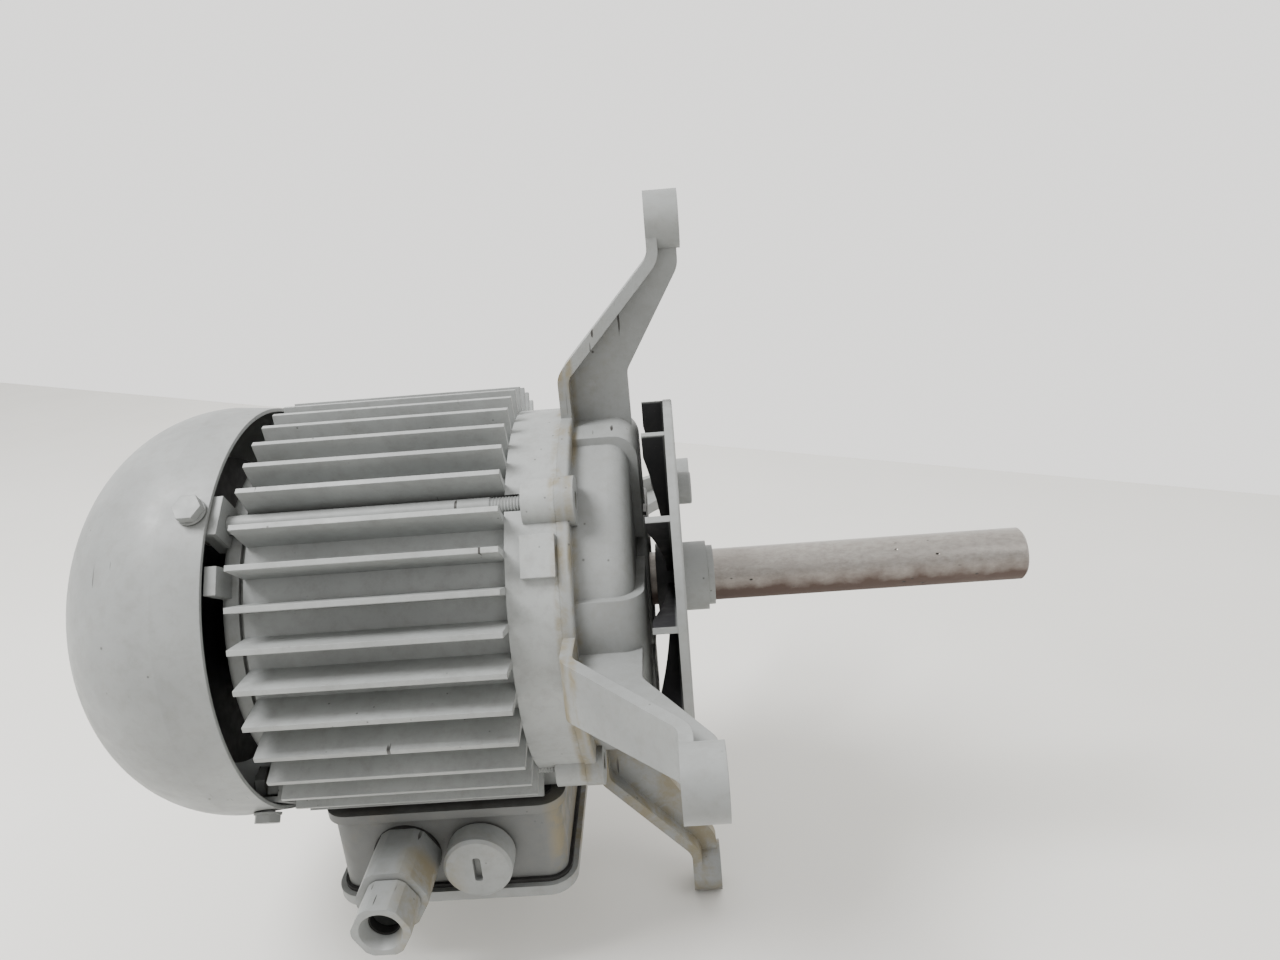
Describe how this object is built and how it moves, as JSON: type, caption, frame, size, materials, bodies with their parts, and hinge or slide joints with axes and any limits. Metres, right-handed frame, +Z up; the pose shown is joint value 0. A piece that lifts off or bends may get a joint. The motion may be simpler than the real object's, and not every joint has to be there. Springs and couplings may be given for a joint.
{
  "type": "electric motor",
  "caption": "Finned three-phase motor without feet: four-armed drive-end shield, long bare shaft with a vaned wheel, fan cowl, terminal box below with cable gland and blanking plug.",
  "frame": {"origin": "on the shaft axis, in the plane of the four arm bosses' front faces, where the motor bolts on", "axes": "+X along the shaft towards the drive end, +Z up (opposite the terminal box), cable entries face -Y"},
  "size_m": [0.3368, 0.2772, 0.2772],
  "materials": {
    "grey_paint": "satin light grey, sprayed over castings",
    "grey_paint_steel": "satin light grey on pressed steel",
    "worn_shaft_steel": "ground steel, stained and pitted",
    "zinc_steel": "zinc plated",
    "bearing_steel": "polished",
    "lamination_steel": "stacked sheets",
    "cast_aluminium": "as cast",
    "copper_winding": "varnished enamelled wire",
    "brass_parts": "bright",
    "wheel_plastic": "black, oversprayed grey on its edges",
    "fan_plastic": "black moulded",
    "board_plastic": "dark moulded phenolic",
    "gasket_rubber": "black",
    "gland_plastic": "grey, oversprayed",
    "lead_insulation": "red-brown sleeving"
  },
  "bodies": {
    "housing": {"stator_frame": "grey_paint", "drive_end_shield": "grey_paint", "rear_end_shield": "grey_paint", "terminal_box": "grey_paint", "terminal_box_lid": "grey_paint", "fan_cowl": "grey_paint_steel", "cowl_brackets": "grey_paint_steel", "cowl_screws": "grey_paint_steel", "tie_bolts": "zinc_steel", "tie_bolt_washers": "zinc_steel", "stator_core": "lamination_steel", "stator_winding": "copper_winding", "wave_washer": "zinc_steel", "shaft_seal": "gasket_rubber", "seat_gasket": "gasket_rubber", "lid_gasket": "gasket_rubber", "gland_washer": "gasket_rubber", "plug_washer": "gasket_rubber", "gland_seal": "gasket_rubber", "gland_body": "gland_plastic", "gland_nut": "gland_plastic", "blanking_plug": "gland_plastic", "box_base_screws": "zinc_steel", "lid_screws": "zinc_steel", "board_screws": "zinc_steel", "earth_screw": "zinc_steel", "terminal_board": "board_plastic", "terminal_studs": "brass_parts", "terminal_links": "brass_parts", "terminal_nuts": "brass_parts", "winding_leads": "lead_insulation", "drive_end_bearing_outer": "bearing_steel", "fan_end_bearing_outer": "bearing_steel"},
    "rotor": {"shaft": "worn_shaft_steel", "rotor_core": "lamination_steel", "rotor_cage": "cast_aluminium", "drive_end_bearing_inner": "bearing_steel", "fan_end_bearing_inner": "bearing_steel", "cooling_fan": "fan_plastic", "fan_circlip": "zinc_steel", "vaned_wheel": "wheel_plastic", "wheel_retaining_ring": "grey_paint_steel", "wheel_peg": "grey_paint_steel"},
    "drive_end_ball_train": {"drive_end_bearing_balls": "bearing_steel", "drive_end_bearing_cage": "zinc_steel"},
    "fan_end_ball_train": {"fan_end_bearing_balls": "bearing_steel", "fan_end_bearing_cage": "zinc_steel"}
  },
  "joints": [
    {"name": "rotor_spin", "type": "hinge", "parent": "housing", "child": "rotor", "pos_m": [0, 0, 0], "axis": [1, 0, 0], "continuous": true},
    {"name": "drive_end_ball_orbit", "type": "hinge", "parent": "housing", "child": "drive_end_ball_train", "pos_m": [0, 0, 0], "axis": [1, 0, 0], "continuous": true},
    {"name": "fan_end_ball_orbit", "type": "hinge", "parent": "housing", "child": "fan_end_ball_train", "pos_m": [0, 0, 0], "axis": [1, 0, 0], "continuous": true}
  ],
  "couplings": [
    {"joint": "drive_end_ball_orbit", "follows": "rotor_spin", "ratio": 0.38152},
    {"joint": "fan_end_ball_orbit", "follows": "rotor_spin", "ratio": 0.38152}
  ]
}
